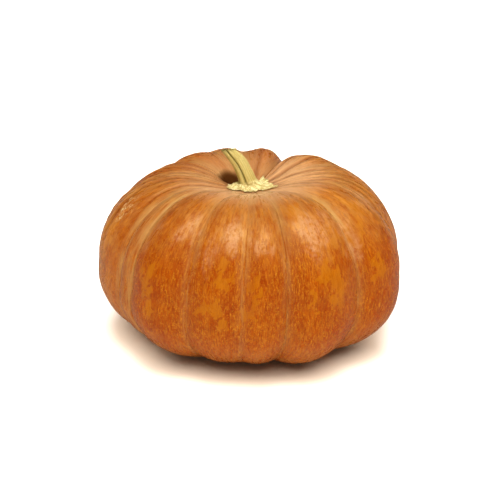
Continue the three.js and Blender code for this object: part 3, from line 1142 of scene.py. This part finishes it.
# Painted shade in the hollow beside the stem.
colour = mix_colour(tree, sunken_mask, colour, PAINTED_HOLLOW_SHADE)
link(tree, colour, shader.inputs["Base Color"])

# %% [markdown]
# Bare skin shines and wax is dull, so the wax mask also raises the roughness. The light
# dashes stand a little proud and the dark ones lie lower. All that is too fine for the
# mesh goes into one bump, which costs no points.

# %% Shine and fine relief
ROUGH_LEAST, ROUGH_MOTTLE = 0.10, 0.36
ROUGH_WAX, ROUGH_HOLLOW = 0.12, 0.6
RIND_BUMP, RIND_BUMP_HEIGHT = 0.7, 0.0004
RIND_GLOSS = 0.36
grain = streak(tree, place, across=210.0, along=120.0, low=0.3, high=0.7, waviness=0.0)
lines = streak(tree, place, across=95.0, along=3.0, low=0.3, high=0.7, waviness=0.2)
rough = share_of(tree, mottle.outputs["Raw"], ROUGH_MOTTLE)
rough = math_node(tree, "ADD", rough, ROUGH_LEAST)
rough = math_node(tree, "ADD", rough, share_of(tree, wax, ROUGH_WAX), clamp=True)
rough_hollow = share_of(tree, sunken_mask, ROUGH_HOLLOW)
rough = math_node(tree, "ADD", rough, rough_hollow, clamp=True)
link(tree, rough, shader.inputs["Roughness"])
layers_of_relief = (
    (dash, 0.20),
    (dark_dash, -0.15),
    (grain.outputs["Raw"], 0.10),
    (lines.outputs["Raw"], 0.25),
    (mottle.outputs["Raw"], 1.3),
)
first_mask, first_amount = layers_of_relief[0]
height = share_of(tree, first_mask, first_amount)
for mask, amount in layers_of_relief[1:]:
    height = math_node(tree, "ADD", height, share_of(tree, mask, amount))
bump = tree.nodes.new("ShaderNodeBump")
bump.inputs["Strength"].default_value = RIND_BUMP
bump.inputs["Distance"].default_value = RIND_BUMP_HEIGHT
link(tree, height, bump.inputs["Height"])
link(tree, bump.outputs["Normal"], shader.inputs["Normal"])
shader.inputs["Specular IOR Level"].default_value = RIND_GLOSS
shader.inputs["Specular Tint"].default_value = SHINE_WARMTH
fruit.data.materials.append(rind_finish)
print("rind finish nodes", len(tree.nodes))

# %% [markdown]
# ## The stem's finish
# The dry stem is pale straw with fibres along it. Olive green is left in the furrows, and
# the deeper furrows are darker still with painted shade; the foot is lighter and corky, and
# the cut end is speckled dark where the strands were cut through. A plain wood finish
# would miss all of that, so the four masks on the mesh mix the colours.

# %% Stem finish
STRAW = (0.500, 0.370, 0.085)
STRAW_PALE = (0.720, 0.600, 0.230)
# Olive for the furrows, partly olive and partly painted shade, and for the stem's dark flecks.
OLIVE_AND_FURROW_SHADE = (0.130, 0.095, 0.008)
CORK = (0.900, 0.820, 0.450)
CORK_SHADE = (0.520, 0.400, 0.130)
CUT_DARK = (0.060, 0.070, 0.012)
FURROW_OLIVE_AND_SHADE_COVER, STEM_FLECK_COVER, CORK_COVER = 0.85, 0.45, 0.9
STEM_ROUGHNESS = 0.7
STEM_BUMP, STEM_BUMP_HEIGHT = 0.6, 0.0006

stem_finish = bpy.data.materials.new("stem_finish")
stem_finish.use_nodes = True
tree = stem_finish.node_tree
shader = tree.nodes["Principled BSDF"]
place = attribute(tree, "skin").outputs["Vector"]
fibres = streak(tree, place, across=16.0, along=1.6, low=0.35, high=0.65, waviness=0.3)
crumbs = streak(tree, place, across=11.0, along=9.0, low=0.42, high=0.62, waviness=0.6)
colour = mix_colour(tree, fibres.outputs["Mask"], STRAW, STRAW_PALE)
ridge_mask = attribute(tree, "ridge").outputs["Fac"]
# Olive in the furrows, darker the deeper they are: partly olive and partly painted shade.
furrow_olive_and_shade = math_node(tree, "SUBTRACT", 1.0, ramp(tree, ridge_mask, 0.30, 0.92))
foot_mask = attribute(tree, "foot").outputs["Fac"]
not_foot = math_node(tree, "SUBTRACT", 1.0, foot_mask)
furrow_olive_and_shade = math_node(tree, "MULTIPLY", furrow_olive_and_shade, share_of(tree, not_foot, FURROW_OLIVE_AND_SHADE_COVER))
colour = mix_colour(tree, furrow_olive_and_shade, colour, OLIVE_AND_FURROW_SHADE)
flecks = streak(tree, place, across=34.0, along=9.0, low=0.55, high=0.66, waviness=0.4)
dark_flecks = math_node(tree, "MULTIPLY", flecks.outputs["Mask"], not_foot)
colour = mix_colour(tree, share_of(tree, dark_flecks, STEM_FLECK_COVER), colour, OLIVE_AND_FURROW_SHADE)
cork = mix_colour(tree, crumbs.outputs["Mask"], CORK_SHADE, CORK)
colour = mix_colour(tree, share_of(tree, foot_mask, CORK_COVER), colour, cork)
cut_mask = attribute(tree, "cut").outputs["Fac"]
between_crumbs = math_node(tree, "SUBTRACT", 1.0, crumbs.outputs["Mask"])
strands = math_node(tree, "MULTIPLY", cut_mask, between_crumbs)
colour = mix_colour(tree, strands, colour, CUT_DARK)
link(tree, colour, shader.inputs["Base Color"])
shader.inputs["Roughness"].default_value = STEM_ROUGHNESS
height = math_node(tree, "ADD", fibres.outputs["Raw"], crumbs.outputs["Raw"])
bump = tree.nodes.new("ShaderNodeBump")
bump.inputs["Strength"].default_value = STEM_BUMP
bump.inputs["Distance"].default_value = STEM_BUMP_HEIGHT
link(tree, height, bump.inputs["Height"])
link(tree, bump.outputs["Normal"], shader.inputs["Normal"])
stem.data.materials.append(stem_finish)
print("stem finish nodes", len(tree.nodes))

# %% [markdown]
# ## Floor and light
# The pumpkin stands on a white sweep in a small studio. The sweep is one large plane,
# a little darker for light that bounces off it on to the pumpkin, and darker still where
# the rind mirrors it, as if grey cards lay round the fruit out of view.

# %% Floor
FLOOR_SIZE = 16.0
FLOOR_WHITE, FLOOR_BOUNCED, FLOOR_MIRRORED = 0.93, 0.60, 0.15
FLOOR_ROUGHNESS = 0.9

bpy.ops.mesh.primitive_plane_add(size=FLOOR_SIZE, location=(0.0, 0.0, 0.0))
floor_piece = bpy.context.object
floor_piece.name = "floor"
floor_finish = bpy.data.materials.new("floor_finish")
floor_finish.use_nodes = True
tree = floor_finish.node_tree
lit = tree.nodes["Principled BSDF"]
bounced = tree.nodes.new("ShaderNodeBsdfDiffuse")
mirrored = tree.nodes.new("ShaderNodeBsdfDiffuse")
for colour_socket, white in (
    (lit.inputs["Base Color"], FLOOR_WHITE),
    (bounced.inputs[0], FLOOR_BOUNCED),
    (mirrored.inputs[0], FLOOR_MIRRORED),
):
    colour_socket.default_value = (white, white, white, 1.0)
lit.inputs["Roughness"].default_value = FLOOR_ROUGHNESS
lit.inputs["Specular IOR Level"].default_value = 0.0
ray = tree.nodes.new("ShaderNodeLightPath").outputs
sweep_shader = lit.outputs[0]
for kind_of_ray, other in (("Is Diffuse Ray", bounced), ("Is Glossy Ray", mirrored)):
    choice = tree.nodes.new("ShaderNodeMixShader")
    link(tree, ray[kind_of_ray], choice.inputs[0])
    link(tree, sweep_shader, choice.inputs[1])
    link(tree, other.outputs[0], choice.inputs[2])
    sweep_shader = choice.outputs[0]
link(tree, sweep_shader, tree.nodes["Material Output"].inputs["Surface"])
floor_piece.data.materials.append(floor_finish)
print("floor", FLOOR_SIZE, "m wide")

# %% [markdown]
# The lights are suns with a wide disc, because a sun lights the floor evenly at any
# distance, where an area lamp would leave it dark at the edges. The panel hangs almost
# overhead, falls on everything, and makes the shine on the shoulders. The fills come
# from the front, both sides and the back. They fall on the pumpkin alone and aren't
# mirrored in it, so they open up its shadows and leave the one on the floor. The sweep
# light and three warm spills fall on the floor alone: they keep it white right up to the
# fruit, and make its shadow narrow and amber.


# %% Lights
def soft_light(name, strength, colour, width, forward, sideways):
    """A sun with a disc so many degrees wide, tipped forward and sideways from overhead."""
    data = bpy.data.lights.new(name, "SUN")
    data.energy = strength
    data.color = colour
    data.angle = math.radians(width)
    light = bpy.data.objects.new(name, data)
    light.rotation_euler = (math.radians(forward), math.radians(sideways), 0.0)
    bpy.context.scene.collection.objects.link(light)
    return light


def only_for(light, pieces):
    """Lets a light fall on some of the pieces alone, without being mirrored."""
    light.visible_glossy = False
    receivers = bpy.data.collections.new(light.name + "_falls_on")
    for piece in pieces:
        receivers.objects.link(piece)
    light.light_linking.receiver_collection = receivers


CLEAN, WARM, AMBER = (1.0, 0.98, 0.94), (1.0, 0.93, 0.78), (1.0, 0.84, 0.66)
# Name, strength, colour, width of the disc in degrees, and how many degrees the light is
# tipped forward and sideways.
PANEL = ("panel", 2.05, CLEAN, 30.0, 10.0, 3.0)
FRUIT_FILLS = [
    ("front", 1.5, WARM, 70.0, 52.0, 4.0),
    ("left", 0.7, WARM, 90.0, 20.0, -62.0),
    ("right", 1.0, WARM, 90.0, 20.0, 62.0),
    ("back", 0.7, WARM, 90.0, -60.0, 0.0),
]
FLOOR_FILLS = [
    ("sweep", 1.6, CLEAN, 30.0, 6.0, 0.0),
    ("spill_front", 2.7, AMBER, 36.0, 34.0, 0.0),
    ("spill_left", 1.3, AMBER, 34.0, 16.0, -29.0),
    ("spill_right", 1.5, AMBER, 34.0, 16.0, 31.0),
]

soft_light(*PANEL)
for fill in FRUIT_FILLS:
    only_for(soft_light(*fill), [fruit, stem])
for fill in FLOOR_FILLS:
    only_for(soft_light(*fill), [floor_piece])
print("lights", len(bpy.data.lights))

# %% [markdown]
# The room round the set gives only a dim warm glow, and still less where the rind
# mirrors it, as when black cloths hang beyond the lights. Straight on it is pure white,
# so the floor runs out into a white ground without a horizon.

# %% Room
ROOM_WARMTH = (1.0, 0.91, 0.72, 1.0)
ROOM_LIGHT, ROOM_MIRRORED = 0.14, 0.10
WHITE = (1.0, 1.0, 1.0, 1.0)

world = bpy.data.worlds.new("room")
world.use_nodes = True
tree = world.node_tree


def glow(colour, strength):
    """An even light of one colour from all round."""
    node = tree.nodes.new("ShaderNodeBackground")
    node.inputs["Color"].default_value = colour
    node.inputs["Strength"].default_value = strength
    return node.outputs[0]


def either(choice, first, second):
    """The first shader where the choice is 0 and the second where it is 1."""
    node = tree.nodes.new("ShaderNodeMixShader")
    for value, socket in zip((choice, first, second), node.inputs):
        link(tree, value, socket)
    return node.outputs[0]


ray = tree.nodes.new("ShaderNodeLightPath").outputs
dim, dimmer = glow(ROOM_WARMTH, ROOM_LIGHT), glow(ROOM_WARMTH, ROOM_MIRRORED)
room = either(ray["Is Glossy Ray"], dim, dimmer)
room = either(ray["Is Camera Ray"], room, glow(WHITE, 1.0))
link(tree, room, tree.nodes["World Output"].inputs["Surface"])
bpy.context.scene.world = world
bpy.context.scene.view_settings.view_transform = "Standard"
print("room lit at", ROOM_LIGHT, "and mirrored at", ROOM_MIRRORED)
